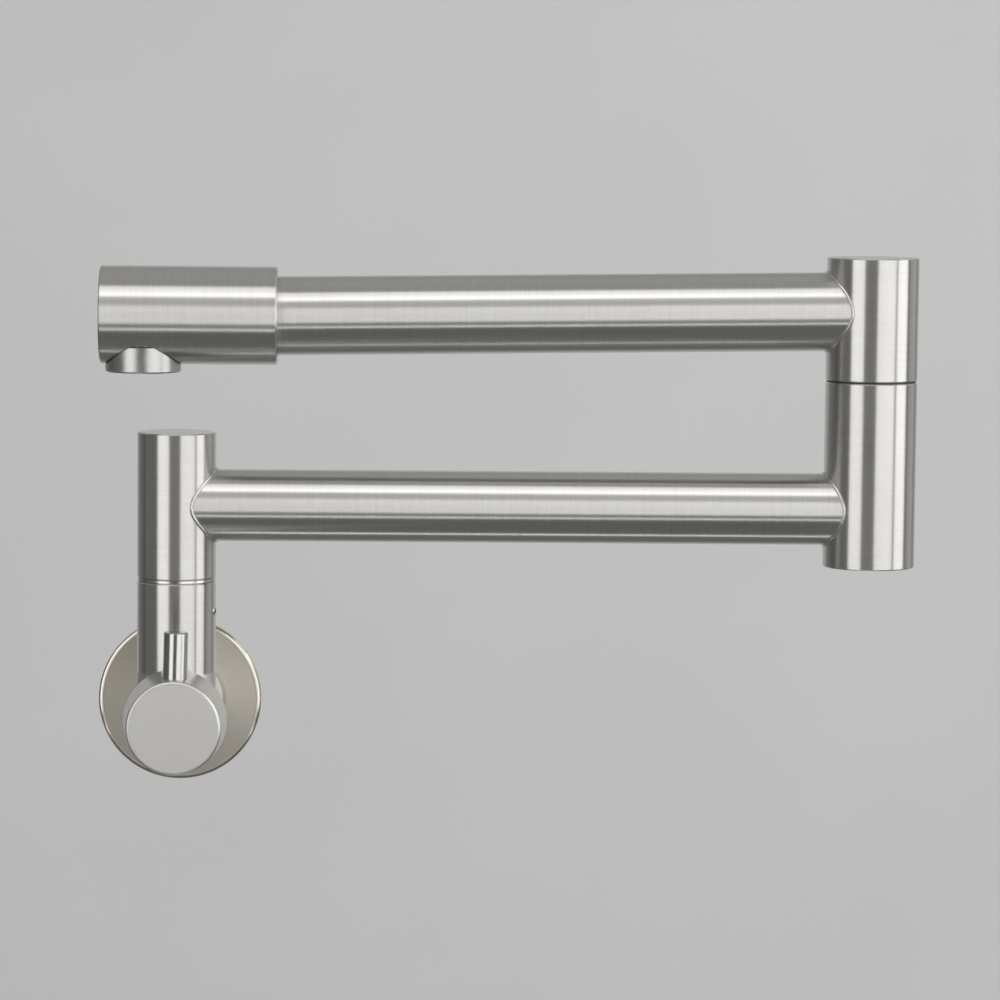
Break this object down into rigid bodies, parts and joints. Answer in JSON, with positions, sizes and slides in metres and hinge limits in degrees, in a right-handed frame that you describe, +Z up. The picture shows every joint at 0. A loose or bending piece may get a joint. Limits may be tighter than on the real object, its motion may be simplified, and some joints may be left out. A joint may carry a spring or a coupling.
{
  "type": "wall-mounted folding tap",
  "caption": "Wall-mounted folding tap: round flange, quarter-turn knob with a pin lever, swivelling lower arm, elbow post and upper spout arm ending in a head with a downward aerator.",
  "frame": {"origin": "centre of the inlet on the wall plane", "axes": "+Z up, +X along the wall the way the folded arms run, -Y out from the wall towards the user"},
  "size_m": [0.2908, 0.0954, 0.1934],
  "materials": {
    "brushed_steel": "fine satin brush round the tubes",
    "polished_steel": "polished",
    "brass": "turned",
    "rubber": "matt",
    "ceramic": "lapped",
    "black_plastic": "matt",
    "white_plastic": "satin"
  },
  "bodies": {
    "valve": {"wall_flange": "brushed_steel", "flange_seal_ring": "rubber", "valve_body": "brushed_steel", "inlet_strainer": "polished_steel", "cartridge_housing": "brass", "cartridge_seat_seal": "rubber", "cartridge_o_ring": "rubber", "fixed_ceramic_disc": "ceramic", "base_ring": "polished_steel", "riser_grub_screw": "polished_steel"},
    "knob": {"knob": "brushed_steel", "lever_pin": "polished_steel", "knob_grub_screw": "polished_steel", "cartridge_spindle": "brass", "spindle_o_ring": "rubber", "spindle_clip": "polished_steel", "moving_ceramic_disc": "ceramic"},
    "lower_arm": {"base_sleeve": "brushed_steel", "base_sleeve_plug": "brushed_steel", "base_spigot": "brass", "base_spigot_o_rings": "rubber", "lower_tube": "brushed_steel", "elbow_lower_sleeve": "brushed_steel", "elbow_foot_plug": "brushed_steel", "elbow_grub_screw": "polished_steel", "elbow_slide_washer": "black_plastic"},
    "upper_arm": {"elbow_upper_sleeve": "brushed_steel", "elbow_top_plug": "brushed_steel", "elbow_spigot": "brass", "elbow_spigot_o_rings": "rubber", "upper_tube": "brushed_steel", "spout_head": "brushed_steel", "aerator_collar": "polished_steel", "aerator_jet_insert": "white_plastic", "aerator_screen": "polished_steel", "aerator_washer": "rubber"}
  },
  "joints": [
    {"name": "knob_turn", "type": "hinge", "parent": "valve", "child": "knob", "pos_m": [0, -0.045, 0], "axis": [0, -1, 0], "range_deg": [0, 90]},
    {"name": "base_swivel", "type": "hinge", "parent": "valve", "child": "lower_arm", "pos_m": [0, -0.045, 0.04925], "axis": [0, 0, -1], "range_deg": [-0.9, 179.1]},
    {"name": "elbow_swivel", "type": "hinge", "parent": "lower_arm", "child": "upper_arm", "pos_m": [0.24507, -0.04885, 0.12005], "axis": [0, 0, 1], "continuous": true}
  ]
}
